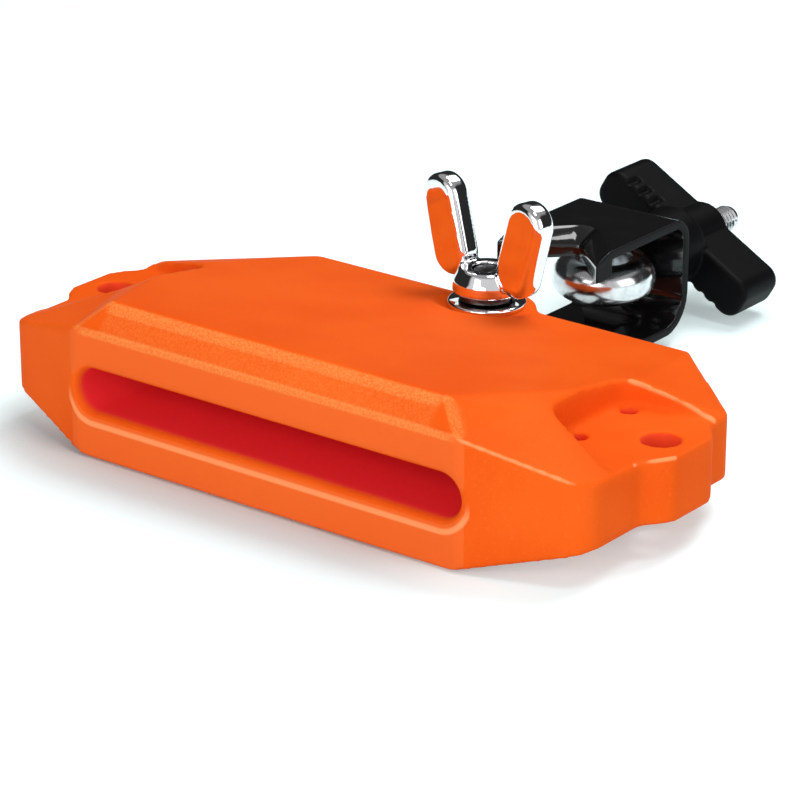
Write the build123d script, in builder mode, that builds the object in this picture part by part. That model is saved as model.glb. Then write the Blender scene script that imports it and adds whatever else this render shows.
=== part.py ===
from build123d import *
import os
from math import cos, radians, sin, sqrt, tan

# Percussion block with a slot, and the rod clamp that hangs from its rear lug.
# Millimetres. X runs along the block, Y from its front face to the clamp handle, Z is up.
# The origin is on the ground, under the middle of the whole object's box.

# Block plan, as half lengths along X and depths behind the front face
FRONT_HALF = 59.2
END_HALF = 89.6
REAR_HALF = 89.8
BACK_HALF = 58.8
EAR_HALF = 94.8
FRONT_CORNER_DEPTH = 9.2
REAR_CORNER_DEPTH = 67.6
BLOCK_DEPTH = 97.0
EAR_START_DEPTH = 30.5
EAR_END_DEPTH = 60.0
EAR_FLARE = 6.5
FRONT_CORNER_RADIUS = 8.0
REAR_CORNER_RADIUS = 4.0
EAR_RADIUS = 4.0

# Block heights and the facets of its top and underside
BLOCK_HEIGHT = 41.0
BAND_TOP = 26.2
BAND_BOTTOM = 9.5
RIDGE_HALF = 51.6
RIDGE_DEPTH = 5.5
FRONT_TOP = 34.0
BROW_RIDGE_RADIUS = 3.2
BROW_FRONT_RADIUS = 4.6
SHOULDER_DEPTH = 25.3
REAR_FACET_ANGLE = 17.0
FOOT_HALF = 56.5
FOOT_REAR_INSET = 9.0

# Sound slot in the front face
SLOT_LENGTH = 119.0
SLOT_HEIGHT = 11.2
SLOT_CENTRE_HEIGHT = 19.3
SLOT_DEPTH = 62.0
RIM_WIDTH = 2.8
RIM_DEPTH = 2.2

# End pockets and their holes
POCKET_HALF = 66.0
POCKET_FRONT_DEPTH = 26.5
POCKET_REAR_DEPTH = 58.5
POCKET_REAR_FLARE = 4.5
POCKET_RADIUS = 4.0
EAR_HOLE_INSET = 9.1
EAR_HOLE_DEPTH = 44.7
EAR_HOLE_DIAMETER = 9.5
SCREW_HOLE_HALF = 69.4
SCREW_HOLE_SPACING = 20.8
SCREW_HOLE_DIAMETER = 4.2

# Rear lug, the stud through it and the stack on the stud
STUD_DEPTH = 92.0
STUD_DIAMETER = 8.0
LUG_RADIUS = 12.9
LUG_BLEND_RADIUS = 5.0
SEAT_HEIGHT = 26.9
HEAD_RADIUS = 9.0
HEAD_HEIGHT = 2.6
HEAD_EDGE_RADIUS = 1.8
STUD_SUNK = 1.0
FLAT_WASHER_RADIUS = 10.2
FLAT_WASHER_THICKNESS = 1.6
WASHER_EDGE_RADIUS = 0.4
LOCK_WASHER_RADIUS = 7.4
LOCK_WASHER_THICKNESS = 2.2
LOCK_WASHER_SPLIT = 1.4

# Wing nut
NUT_BASE_RADIUS = 9.0
NUT_TOP_RADIUS = 6.4
NUT_HUB_HEIGHT = 11.0
NUT_FLANGE_HEIGHT = 3.0
WING_ANGLE = -12.0
WING_LEAN = 16.0
WING_REACH = 14.2
WING_LENGTH = 27.0
WING_WIDTH = 12.5
WING_THICKNESS = 6.6
WING_CENTRE_HEIGHT = 14.6
WING_EDGE_RADIUS = 2.2

# Clamp bracket, bent from one steel strip
BRACKET_WIDTH = 32.4
BRACKET_THICKNESS = 2.5
BRACKET_BOTTOM = 3.7
BRACKET_HEIGHT = 32.0
WEB_FROM_STUD = 70.0
TOP_PLATE_LENGTH = 45.0
UPPER_BEND_RADIUS = 4.0
LOWER_BEND_RADIUS = 8.0
VEE_FROM_WEB = 28.0
VEE_LIP = 5.0
VEE_BEND_RADIUS = 3.0
WINDOW_HALF = 11.5
WINDOW_LENGTH = 23.0
TONGUE_FLAT = 2.0
SWIVEL_LIMIT = 40.0

# Eye bolt
CLAMP_HEIGHT = 19.9
EYE_RADIUS = 14.0
EYE_BORE_RADIUS = 7.0
EYE_HEIGHT = 11.0
EYE_EDGE_RADIUS = 5.0
SHANK_DIAMETER = 7.7
THREAD_FROM_WEB = 45.0
THREAD_CHAMFER = 0.9

# Clamp handle
HANDLE_WASHER_RADIUS = 8.5
HANDLE_WASHER_THICKNESS = 1.2
HUB_RADIUS = 10.5
HUB_LENGTH = 14.0
BOSS_RADIUS = 8.0
BAR_LENGTH = 54.0
BAR_HEIGHT = 12.0
BAR_END_RADIUS = 4.5
BAR_THICKNESS = 17.0
BAR_EDGE_RADIUS = 1.2
BAR_TILT = 30.0
GROOVE_COUNT = 3
GROOVE_PITCH = 4.2
GROOVE_RADIUS = 1.1
GROOVE_START = 11.2
GROOVE_LENGTH = 5.0
INSERT_RADIUS = 6.5
INSERT_LENGTH = 20.0

# Clearances
RUNNING_GAP = 0.05
STUD_GAP = 0.1
SEAT_GAP = 0.1
EYE_GAP = 0.5
RECESS_GAP = 0.7
WASHER_GAP = 0.3

# Places worked out from the sizes
FRONT_Y = -(STUD_DEPTH + WEB_FROM_STUD + THREAD_FROM_WEB) / 2
STUD_Y = FRONT_Y + STUD_DEPTH
WEB_Y = STUD_Y + WEB_FROM_STUD
BRACKET_HALF = BRACKET_WIDTH / 2
BACK_Y = FRONT_Y + BLOCK_DEPTH
EAR_HOLE_HALF = EAR_HALF - EAR_HOLE_INSET
EAR_HOLE_Y = FRONT_Y + EAR_HOLE_DEPTH
THREAD_END_Y = WEB_Y + THREAD_FROM_WEB
WEB_INNER_Y = WEB_Y - BRACKET_THICKNESS
BRACKET_TOP = BRACKET_BOTTOM + BRACKET_HEIGHT
TOP_PLATE_Y = WEB_Y - TOP_PLATE_LENGTH
LIP_RUN = BRACKET_THICKNESS * sqrt(2)
NECK_HOLE = STUD_DIAMETER + 2 * RUNNING_GAP
TONGUE_TOP = BRACKET_BOTTOM + BRACKET_THICKNESS
RECESS_TOP = TONGUE_TOP + SEAT_GAP
SWING = radians(SWIVEL_LIMIT)
TONGUE_EDGE_REACH = (BLOCK_DEPTH - STUD_DEPTH + BRACKET_HALF * sin(SWING)) / cos(SWING)
RECESS_RADIUS = sqrt(BRACKET_HALF**2 + TONGUE_EDGE_REACH**2) + RECESS_GAP
VEE_Y = WEB_Y - VEE_FROM_WEB
EYE_Y = WEB_Y - BRACKET_THICKNESS - EYE_GAP - EYE_RADIUS
FLAT_WASHER_TOP = SEAT_HEIGHT + FLAT_WASHER_THICKNESS
LOCK_WASHER_BASE = FLAT_WASHER_TOP + RUNNING_GAP
NUT_BASE = LOCK_WASHER_BASE + LOCK_WASHER_THICKNESS + RUNNING_GAP
WASHER_BORE_RADIUS = STUD_DIAMETER / 2 + WASHER_GAP
HANDLE_START = WEB_Y + HANDLE_WASHER_THICKNESS + RUNNING_GAP
BAR_Y = HANDLE_START + HUB_LENGTH + BAR_THICKNESS / 2

os.makedirs("parts", exist_ok=True)


def corner(half, depth, height, side=1):
    """A corner of the block, given as half length, depth and height."""
    return Vector(side * half, FRONT_Y + depth, height)


def facet(first, second, third):
    """The plane through three corners of the block, facing up."""
    up = (second - first).cross(third - first)
    if up.Z < 0:
        up = up * -1
    return Plane(origin=first, x_dir=second - first, z_dir=up)


def corner_on(plane, half, depth, side):
    """The corner where a facet passes over a point of the block's plan."""
    away = corner(half, depth, plane.origin.Z, side) - plane.origin
    fall = (plane.z_dir.X * away.X + plane.z_dir.Y * away.Y) / plane.z_dir.Z
    return corner(half, depth, plane.origin.Z - fall, side)


def chamfer_facet(rear, back, rise):
    """The plane that leaves the rear chamfer's edge and rises inwards."""
    edge = back - rear
    inwards = edge.cross(Vector(0, 0, 1)).normalized()
    if inwards.X * rear.X > 0:
        inwards = inwards * -1
    return facet(rear, back, rear + inwards + Vector(0, 0, rise))


def plan_points(outline):
    """Plan points of the block's right half, from half lengths and depths."""
    return [(half, FRONT_Y + depth) for half, depth in outline]


def block_plan(outline, height):
    """A face of the block's plan at a height, with its corners rounded."""
    with BuildSketch(Plane.XY.offset(height)) as sheet:
        with BuildLine():
            Polyline(plan_points(outline))
            mirror(about=Plane.YZ)
        make_face()
        ends = sheet.vertices().filter_by(lambda v: abs(v.X) > max(FRONT_HALF, BACK_HALF) + 1)
        rows = ends.group_by(Axis.Y)
        fillet(rows[0], FRONT_CORNER_RADIUS)
        fillet(rows[-1], REAR_CORNER_RADIUS)
        for row in rows[1:-1]:
            fillet(row, EAR_RADIUS)
    return sheet.sketch


# Corners of the block's right half in plan, without and with the ear
HULL_OUTLINE = [
    (0, 0),
    (FRONT_HALF, 0),
    (END_HALF, FRONT_CORNER_DEPTH),
    (REAR_HALF, REAR_CORNER_DEPTH),
    (BACK_HALF, BLOCK_DEPTH),
    (0, BLOCK_DEPTH),
]
EAR_OUTLINE = [
    (END_HALF, EAR_START_DEPTH),
    (EAR_HALF, EAR_START_DEPTH + EAR_FLARE),
    (EAR_HALF, EAR_END_DEPTH - EAR_FLARE),
    (REAR_HALF, EAR_END_DEPTH),
]
BAND_OUTLINE = HULL_OUTLINE[:3] + EAR_OUTLINE + HULL_OUTLINE[3:]
POCKET_OUTLINE = [
    (POCKET_HALF, POCKET_FRONT_DEPTH),
    (EAR_HALF + POCKET_RADIUS, POCKET_FRONT_DEPTH),
    (EAR_HALF + POCKET_RADIUS, POCKET_REAR_DEPTH + POCKET_REAR_FLARE),
    (POCKET_HALF, POCKET_REAR_DEPTH),
]

# Wedges that the front corners lose: above the shoulder and outside the cheek beside the ridge
ridges = {}
shoulder_cuts = []
end_facets = []
for side in (1, -1):
    ridge = corner(RIDGE_HALF, RIDGE_DEPTH, BLOCK_HEIGHT, side)
    front = corner(FRONT_HALF, 0, FRONT_TOP, side)
    end = corner(END_HALF, FRONT_CORNER_DEPTH, BAND_TOP, side)
    rear = corner(REAR_HALF, REAR_CORNER_DEPTH, BAND_TOP, side)
    end_facet = facet(ridge, end, rear)
    shoulder = corner_on(end_facet, POCKET_HALF, SHOULDER_DEPTH, side)
    with BuildPart() as wedge:
        with Locations((0, FRONT_Y + BLOCK_DEPTH / 2, BLOCK_HEIGHT)):
            Box(3 * EAR_HALF, 2 * BLOCK_DEPTH, 2 * BLOCK_HEIGHT)
        split(bisect_by=facet(front, end, shoulder), keep=Keep.TOP)
        split(bisect_by=facet(ridge, front, shoulder), keep=Keep.TOP)
    ridges[side] = ridge
    end_facets.append(end_facet)
    shoulder_cuts.append(wedge.part)

# Foot: the hull outline cut to the facets of the underside
with BuildPart() as foot:
    extrude(block_plan(HULL_OUTLINE, 0), amount=BAND_BOTTOM)
    foot_rear = BLOCK_DEPTH - FOOT_REAR_INSET
    back_edge = [corner(BACK_HALF, BLOCK_DEPTH, BAND_BOTTOM, side) for side in (1, -1)]
    split(bisect_by=facet(corner(FOOT_HALF, foot_rear, 0), *back_edge), keep=Keep.TOP)
    for side in (1, -1):
        end = corner(END_HALF, FRONT_CORNER_DEPTH, BAND_BOTTOM, side)
        rear = corner(REAR_HALF, REAR_CORNER_DEPTH, BAND_BOTTOM, side)
        back = corner(BACK_HALF, BLOCK_DEPTH, BAND_BOTTOM, side)
        split(bisect_by=facet(corner(FOOT_HALF, 0, 0, side), end, rear), keep=Keep.TOP)
        split(bisect_by=chamfer_facet(rear, back, -tan(radians(REAR_FACET_ANGLE))), keep=Keep.TOP)

# Block: a band with ears, an upper half cut to its facets and a foot below
with BuildPart() as block_body:
    extrude(block_plan(HULL_OUTLINE, BAND_TOP), amount=BLOCK_HEIGHT - BAND_TOP)
    back = corner(BACK_HALF, BLOCK_DEPTH, BAND_TOP)
    front = corner(FRONT_HALF, 0, FRONT_TOP)
    split(bisect_by=facet(ridges[1], ridges[-1], back), keep=Keep.BOTTOM)
    split(bisect_by=facet(ridges[1], ridges[-1], front), keep=Keep.BOTTOM)
    fillet(block_body.edges().filter_by(Axis.X).sort_by(Axis.Z)[-1], BROW_RIDGE_RADIUS)
    brow_front = block_body.edges().filter_by(Axis.X).group_by(Axis.Y)[0].sort_by(Axis.Z)[-1]
    fillet(brow_front, BROW_FRONT_RADIUS)
    for end_facet in end_facets:
        split(bisect_by=end_facet, keep=Keep.BOTTOM)
    for side in (1, -1):
        rear = corner(REAR_HALF, REAR_CORNER_DEPTH, BAND_TOP, side)
        back = corner(BACK_HALF, BLOCK_DEPTH, BAND_TOP, side)
        split(bisect_by=chamfer_facet(rear, back, tan(radians(REAR_FACET_ANGLE))), keep=Keep.BOTTOM)
    for cut in shoulder_cuts:
        add(cut, mode=Mode.SUBTRACT)
    extrude(block_plan(BAND_OUTLINE, BAND_BOTTOM), amount=BAND_TOP - BAND_BOTTOM)
    add(foot.part)
    # Rear lug that blends into the back edge, with a level seat for the washer
    with BuildSketch(Plane.XY.offset(BAND_BOTTOM)) as lug:
        with Locations((0, STUD_Y)):
            Circle(LUG_RADIUS)
        with Locations((0, BACK_Y)):
            Rectangle(4 * LUG_RADIUS, 2 * LUG_RADIUS, align=(Align.CENTER, Align.MAX))
        roots = lug.vertices().filter_by(lambda v: abs(v.X) < LUG_RADIUS and abs(v.Y - BACK_Y) < 0.01)
        fillet(roots, LUG_BLEND_RADIUS)
    extrude(amount=BAND_TOP - BAND_BOTTOM)
    with BuildSketch(Plane.XY.offset(BAND_TOP)):
        with Locations((0, STUD_Y)):
            Circle(LUG_RADIUS)
    extrude(amount=SEAT_HEIGHT - BAND_TOP)
    with BuildSketch(Plane.XY.offset(SEAT_HEIGHT)):
        with Locations((0, STUD_Y)):
            Circle(LUG_RADIUS)
    extrude(amount=BLOCK_HEIGHT, mode=Mode.SUBTRACT)
    # Round recess under the lug, where the bracket's tongue swings
    with BuildSketch():
        with Locations((0, STUD_Y)):
            Circle(RECESS_RADIUS)
    extrude(amount=RECESS_TOP, mode=Mode.SUBTRACT)
    # Sound slot with a flared rim
    with BuildSketch(Plane.XZ.offset(-FRONT_Y)):
        with Locations((0, SLOT_CENTRE_HEIGHT)):
            SlotOverall(SLOT_LENGTH, SLOT_HEIGHT)
    extrude(amount=-SLOT_DEPTH, mode=Mode.SUBTRACT)
    with BuildSketch(Plane.XZ.offset(-FRONT_Y)):
        with Locations((0, SLOT_CENTRE_HEIGHT)):
            SlotOverall(SLOT_LENGTH + 2 * RIM_WIDTH, SLOT_HEIGHT + 2 * RIM_WIDTH)
    with BuildSketch(Plane.XZ.offset(-FRONT_Y - RIM_DEPTH)):
        with Locations((0, SLOT_CENTRE_HEIGHT)):
            SlotOverall(SLOT_LENGTH, SLOT_HEIGHT)
    loft(mode=Mode.SUBTRACT)
    # End pockets, level with the ears
    for side in (1, -1):
        with BuildSketch(Plane.XY.offset(BAND_TOP)) as pocket:
            with BuildLine():
                Polyline([(side * half, FRONT_Y + depth) for half, depth in POCKET_OUTLINE], close=True)
            make_face()
            inner = pocket.vertices().filter_by(lambda v: abs(abs(v.X) - POCKET_HALF) < 0.01)
            fillet(inner, POCKET_RADIUS)
        extrude(amount=BLOCK_HEIGHT - BAND_TOP, mode=Mode.SUBTRACT)
    # Holes through the ears, the pockets and the lug
    with Locations(*[(side * EAR_HOLE_HALF, EAR_HOLE_Y, BAND_TOP) for side in (1, -1)]):
        Hole(EAR_HOLE_DIAMETER / 2)
    with Locations((0, EAR_HOLE_Y, BAND_TOP)):
        with GridLocations(2 * SCREW_HOLE_HALF, SCREW_HOLE_SPACING, 2, 2):
            Hole(SCREW_HOLE_DIAMETER / 2)
    with Locations((0, STUD_Y, SEAT_HEIGHT)):
        Hole(STUD_DIAMETER / 2 + STUD_GAP)
block_body.part.label = "block_body"
export_step(block_body.part, "parts/block_body.step")

# Flat washer on the lug's seat
with BuildPart() as flat_washer:
    with BuildSketch(Plane.XY.offset(SEAT_HEIGHT)):
        with Locations((0, STUD_Y)):
            Circle(FLAT_WASHER_RADIUS)
            Circle(WASHER_BORE_RADIUS, mode=Mode.SUBTRACT)
    extrude(amount=FLAT_WASHER_THICKNESS)
    rims = flat_washer.edges().filter_by(GeomType.CIRCLE).group_by(SortBy.RADIUS)[-1]
    fillet(rims, WASHER_EDGE_RADIUS)
flat_washer.part.label = "flat_washer"
export_step(flat_washer.part, "parts/flat_washer.step")

# Split lock washer under the nut
with BuildPart() as lock_washer:
    with BuildSketch(Plane.XY.offset(LOCK_WASHER_BASE)):
        with Locations((0, STUD_Y)):
            Circle(LOCK_WASHER_RADIUS)
            Circle(WASHER_BORE_RADIUS, mode=Mode.SUBTRACT)
            Rectangle(
                LOCK_WASHER_SPLIT,
                2 * LOCK_WASHER_RADIUS,
                align=(Align.CENTER, Align.MAX),
                mode=Mode.SUBTRACT,
            )
    extrude(amount=LOCK_WASHER_THICKNESS)
lock_washer.part.label = "lock_washer"
export_step(lock_washer.part, "parts/lock_washer.step")

# Wing nut: a turned hub and two leaning wings with rounded edges
wing_spread = Vector(cos(radians(WING_ANGLE)), sin(radians(WING_ANGLE)), 0)
wing_plane = Plane(
    origin=(0, STUD_Y, NUT_BASE), x_dir=wing_spread, z_dir=wing_spread.cross(Vector(0, 0, 1))
)
with BuildPart() as wing_nut:
    for side in (1, -1):
        with BuildSketch(wing_plane):
            with Locations((side * WING_REACH, WING_CENTRE_HEIGHT)):
                SlotOverall(WING_LENGTH, WING_WIDTH, rotation=90 - side * WING_LEAN)
        extrude(amount=WING_THICKNESS / 2, both=True)
    fillet(wing_nut.edges().group_by(SortBy.LENGTH)[-1], WING_EDGE_RADIUS)
    with BuildSketch(Plane.XZ.offset(-STUD_Y)):
        with BuildLine():
            Polyline(
                (0, NUT_BASE),
                (NUT_BASE_RADIUS, NUT_BASE),
                (NUT_BASE_RADIUS, NUT_BASE + NUT_FLANGE_HEIGHT),
                (NUT_TOP_RADIUS, NUT_BASE + NUT_HUB_HEIGHT),
                (0, NUT_BASE + NUT_HUB_HEIGHT),
                close=True,
            )
        make_face()
    revolve(axis=Axis((0, STUD_Y, 0), (0, 0, 1)))
    with Locations((0, STUD_Y, NUT_BASE)):
        Hole(STUD_DIAMETER / 2 + RUNNING_GAP)
wing_nut.part.label = "wing_nut"
export_step(wing_nut.part, "parts/wing_nut.step")

# Mounting bolt: a low domed head, a square neck and the stud
with BuildPart() as mounting_bolt:
    with BuildSketch(Plane.XY.offset(BRACKET_BOTTOM - HEAD_HEIGHT)):
        with Locations((0, STUD_Y)):
            Circle(HEAD_RADIUS)
    extrude(amount=HEAD_HEIGHT)
    fillet(mounting_bolt.edges().sort_by(Axis.Z)[0], HEAD_EDGE_RADIUS)
    with BuildSketch(Plane.XY.offset(BRACKET_BOTTOM)):
        with Locations((0, STUD_Y)):
            Rectangle(STUD_DIAMETER, STUD_DIAMETER)
    extrude(amount=BRACKET_THICKNESS)
    with BuildSketch(Plane.XY.offset(TONGUE_TOP)):
        with Locations((0, STUD_Y)):
            Circle(STUD_DIAMETER / 2)
    extrude(amount=NUT_BASE + NUT_HUB_HEIGHT - STUD_SUNK - TONGUE_TOP)
mounting_bolt.part.label = "mounting_bolt"
export_step(mounting_bolt.part, "parts/mounting_bolt.step")

# Bracket: a strip bent round the clamp, with a tongue that runs under the lug
with BuildPart() as bracket:
    with BuildSketch(Plane.YZ) as strip:
        with BuildLine():
            Polyline(
                (STUD_Y - BRACKET_HALF, BRACKET_BOTTOM),
                (WEB_Y, BRACKET_BOTTOM),
                (WEB_Y, BRACKET_TOP),
                (TOP_PLATE_Y, BRACKET_TOP),
                (TOP_PLATE_Y, BRACKET_TOP - BRACKET_THICKNESS),
                (WEB_INNER_Y, BRACKET_TOP - BRACKET_THICKNESS),
                (WEB_INNER_Y, TONGUE_TOP),
                (STUD_Y - BRACKET_HALF, TONGUE_TOP),
                close=True,
            )
        make_face()
        for height, inwards, radius in (
            (BRACKET_BOTTOM, BRACKET_THICKNESS, LOWER_BEND_RADIUS),
            (BRACKET_TOP, -BRACKET_THICKNESS, UPPER_BEND_RADIUS),
        ):
            outer = strip.vertices().sort_by_distance((WEB_Y, height))[0]
            fillet(outer, radius + BRACKET_THICKNESS)
            inner = strip.vertices().sort_by_distance((WEB_INNER_Y, height + inwards))[0]
            fillet(inner, radius)
    extrude(amount=BRACKET_HALF, both=True)
    tongue_corners = bracket.edges().filter_by(Axis.Z).group_by(Axis.Y)[0]
    fillet(tongue_corners, BRACKET_HALF - TONGUE_FLAT / 2)
    # Vee in the top plate, with a lip turned down along both sides
    with BuildSketch(Plane.XY.offset(BRACKET_TOP)):
        with BuildLine():
            Polyline(
                (0, VEE_Y),
                (BRACKET_WIDTH, VEE_Y - BRACKET_WIDTH),
                (-BRACKET_WIDTH, VEE_Y - BRACKET_WIDTH),
                close=True,
            )
        make_face()
    extrude(amount=-2 * BRACKET_THICKNESS, mode=Mode.SUBTRACT)
    with BuildSketch(Plane.XY.offset(BRACKET_TOP - BRACKET_THICKNESS)):
        with BuildLine():
            Polyline(
                (0, VEE_Y),
                (BRACKET_HALF, VEE_Y - BRACKET_HALF),
                (BRACKET_HALF, VEE_Y - BRACKET_HALF + LIP_RUN),
                (0, VEE_Y + LIP_RUN),
                (-BRACKET_HALF, VEE_Y - BRACKET_HALF + LIP_RUN),
                (-BRACKET_HALF, VEE_Y - BRACKET_HALF),
                close=True,
            )
        make_face()
    extrude(amount=-VEE_LIP)
    vee_edges = bracket.edges().filter_by(lambda e: abs(e.center().Z - BRACKET_TOP) < 0.01).filter_by(
        lambda e: abs(e.tangent_at(0.5).X) > 0.5 and abs(e.tangent_at(0.5).Y) > 0.5
    )
    fillet(vee_edges, VEE_BEND_RADIUS)
    # Window in the bottom plate with the same vee, for the rod to pass
    with BuildSketch(Plane.XY.offset(BRACKET_BOTTOM)):
        with BuildLine():
            Polyline(
                (0, VEE_Y),
                (WINDOW_HALF, VEE_Y - WINDOW_HALF),
                (WINDOW_HALF, VEE_Y - WINDOW_LENGTH),
                (-WINDOW_HALF, VEE_Y - WINDOW_LENGTH),
                (-WINDOW_HALF, VEE_Y - WINDOW_HALF),
                close=True,
            )
        make_face()
    extrude(amount=BRACKET_THICKNESS, mode=Mode.SUBTRACT)
    # Square hole for the bolt's neck and a round one for the eye bolt's shank
    with BuildSketch(Plane.XY.offset(BRACKET_BOTTOM)):
        with Locations((0, STUD_Y)):
            Rectangle(NECK_HOLE, NECK_HOLE)
    extrude(amount=BRACKET_THICKNESS, mode=Mode.SUBTRACT)
    with BuildSketch(Plane.XZ.offset(-WEB_Y)):
        with Locations((0, CLAMP_HEIGHT)):
            Circle(SHANK_DIAMETER / 2 + STUD_GAP)
    extrude(amount=BRACKET_THICKNESS, mode=Mode.SUBTRACT)
bracket.part.label = "bracket"
export_step(bracket.part, "parts/bracket.step")

# Eye bolt: a ring for the rod and a shank through the web
with BuildPart() as eye_bolt:
    with BuildSketch(Plane.XY.offset(CLAMP_HEIGHT - EYE_HEIGHT / 2)):
        with Locations((0, EYE_Y)):
            Circle(EYE_RADIUS)
    extrude(amount=EYE_HEIGHT)
    fillet(eye_bolt.edges().filter_by(GeomType.CIRCLE), EYE_EDGE_RADIUS)
    with BuildSketch(Plane.XZ.offset(-EYE_Y)):
        with Locations((0, CLAMP_HEIGHT)):
            Circle(SHANK_DIAMETER / 2)
    extrude(amount=-(THREAD_END_Y - EYE_Y))
    chamfer(eye_bolt.edges().filter_by(GeomType.CIRCLE).sort_by(Axis.Y)[-1], THREAD_CHAMFER)
    with Locations((0, EYE_Y, CLAMP_HEIGHT)):
        Hole(EYE_BORE_RADIUS)
eye_bolt.part.label = "eye_bolt"
export_step(eye_bolt.part, "parts/eye_bolt.step")

# Washer between the web and the handle
with BuildPart() as handle_washer:
    with BuildSketch(Plane.XZ.offset(-WEB_Y)):
        with Locations((0, CLAMP_HEIGHT)):
            Circle(HANDLE_WASHER_RADIUS)
            Circle(SHANK_DIAMETER / 2 + STUD_GAP, mode=Mode.SUBTRACT)
    extrude(amount=-HANDLE_WASHER_THICKNESS)
handle_washer.part.label = "handle_washer"
export_step(handle_washer.part, "parts/handle_washer.step")

# Threaded insert moulded into the handle
bar_axis = Vector(cos(radians(BAR_TILT)), 0, -sin(radians(BAR_TILT)))
hub_plane = Plane(origin=(0, HANDLE_START, CLAMP_HEIGHT), x_dir=bar_axis, z_dir=(0, -1, 0))
bar_plane = Plane(origin=(0, BAR_Y, CLAMP_HEIGHT), x_dir=bar_axis, z_dir=(0, -1, 0))
with BuildPart() as handle_insert:
    with BuildSketch(hub_plane):
        RegularPolygon(INSERT_RADIUS, 6)
        Circle(SHANK_DIAMETER / 2 + RUNNING_GAP, mode=Mode.SUBTRACT)
    extrude(amount=-INSERT_LENGTH)
handle_insert.part.label = "handle_insert"
export_step(handle_insert.part, "parts/handle_insert.step")

# Clamp handle: a hub, a cross bar with finger grooves and a boss through both
with BuildPart() as clamp_handle:
    with BuildSketch(bar_plane):
        RectangleRounded(BAR_LENGTH, BAR_HEIGHT, BAR_END_RADIUS)
    extrude(amount=BAR_THICKNESS / 2, both=True)
    rims = clamp_handle.faces().sort_by(Axis.Y)
    fillet(rims[0].edges() + rims[-1].edges(), BAR_EDGE_RADIUS)
    for side in (1, -1):
        with BuildSketch(bar_plane.offset(BAR_THICKNESS / 2)):
            for index in range(GROOVE_COUNT):
                with Locations((-side * (GROOVE_START + index * GROOVE_PITCH), side * BAR_HEIGHT / 2)):
                    Circle(GROOVE_RADIUS)
        extrude(amount=-GROOVE_LENGTH, mode=Mode.SUBTRACT)
    with BuildSketch(hub_plane):
        Circle(BOSS_RADIUS)
    extrude(amount=-(HUB_LENGTH + BAR_THICKNESS))
    with BuildSketch(hub_plane):
        Circle(HUB_RADIUS)
    extrude(amount=-HUB_LENGTH)
    with BuildSketch(hub_plane):
        RegularPolygon(INSERT_RADIUS, 6)
    extrude(amount=-INSERT_LENGTH, mode=Mode.SUBTRACT)
    with BuildSketch(hub_plane):
        Circle(SHANK_DIAMETER / 2 + STUD_GAP)
    extrude(amount=-(HUB_LENGTH + BAR_THICKNESS), mode=Mode.SUBTRACT)
clamp_handle.part.label = "clamp_handle"
export_step(clamp_handle.part, "parts/clamp_handle.step")
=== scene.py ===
# %% [markdown]
# # A moulded percussion block and its rod clamp
# The block is an orange plastic moulding with a long sound slot in its front face. A chromed wing
# nut clamps it on a steel bracket, and the bracket's eye bolt pulls a rod into a vee.
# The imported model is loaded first. It is the fixed frame: every piece below is placed from it.

from math import atan2, cos, pi, radians, sin, sqrt, tan

import bpy
from mathutils import Matrix, Vector


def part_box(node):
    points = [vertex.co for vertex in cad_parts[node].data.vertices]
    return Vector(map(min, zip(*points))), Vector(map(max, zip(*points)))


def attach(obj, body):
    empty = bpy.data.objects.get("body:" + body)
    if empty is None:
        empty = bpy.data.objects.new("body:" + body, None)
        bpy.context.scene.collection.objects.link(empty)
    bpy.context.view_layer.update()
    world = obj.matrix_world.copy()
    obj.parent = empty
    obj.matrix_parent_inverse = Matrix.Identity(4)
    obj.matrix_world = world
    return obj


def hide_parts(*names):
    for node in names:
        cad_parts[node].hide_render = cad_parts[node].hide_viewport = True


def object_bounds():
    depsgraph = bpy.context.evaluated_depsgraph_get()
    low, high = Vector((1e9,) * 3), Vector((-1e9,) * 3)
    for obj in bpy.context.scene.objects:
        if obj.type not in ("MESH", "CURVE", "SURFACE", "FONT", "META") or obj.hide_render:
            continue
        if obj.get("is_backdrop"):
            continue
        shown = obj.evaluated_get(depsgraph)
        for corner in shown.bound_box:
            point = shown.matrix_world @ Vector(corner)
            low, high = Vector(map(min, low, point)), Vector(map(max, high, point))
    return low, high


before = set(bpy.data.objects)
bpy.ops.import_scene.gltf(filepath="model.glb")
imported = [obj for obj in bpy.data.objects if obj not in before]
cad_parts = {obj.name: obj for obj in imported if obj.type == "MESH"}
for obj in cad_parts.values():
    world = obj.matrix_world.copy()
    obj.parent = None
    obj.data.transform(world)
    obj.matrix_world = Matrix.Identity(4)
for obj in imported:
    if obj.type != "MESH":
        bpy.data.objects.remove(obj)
cad_low, cad_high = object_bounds()
MM = 0.001
print("nodes:", sorted(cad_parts))

# %% [markdown]
# ## Camera
# The photograph was taken with a long lens from the front right, a little above the block. A long
# lens far away keeps the long edges nearly parallel, so the camera stands at 0.83 m with a lens of
# 159 mm and looks at a point near the block's front edge.

# %% Place the camera
CAMERA_AZIMUTH = radians(37.8)
CAMERA_ELEVATION = radians(21.6)
CAMERA_TARGET = Vector((33.2, -90.8, 33.2)) * MM
CAMERA_DISTANCE = 830 * MM
CAMERA_LENS = 158.85

level = cos(CAMERA_ELEVATION)
towards_camera = Vector((
    sin(CAMERA_AZIMUTH) * level,
    -cos(CAMERA_AZIMUTH) * level,
    sin(CAMERA_ELEVATION),
))
bpy.ops.object.select_all(action="DESELECT")
bpy.ops.object.camera_add(location=CAMERA_TARGET + towards_camera * CAMERA_DISTANCE)
camera = bpy.context.object
camera.rotation_mode = "QUATERNION"
camera.rotation_quaternion = (-towards_camera).to_track_quat("-Z", "Y")
camera.data.lens = CAMERA_LENS
bpy.context.scene.camera = camera
bpy.context.scene.view_settings.view_transform = "Standard"
print("camera at", [round(v, 3) for v in camera.location])

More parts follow.
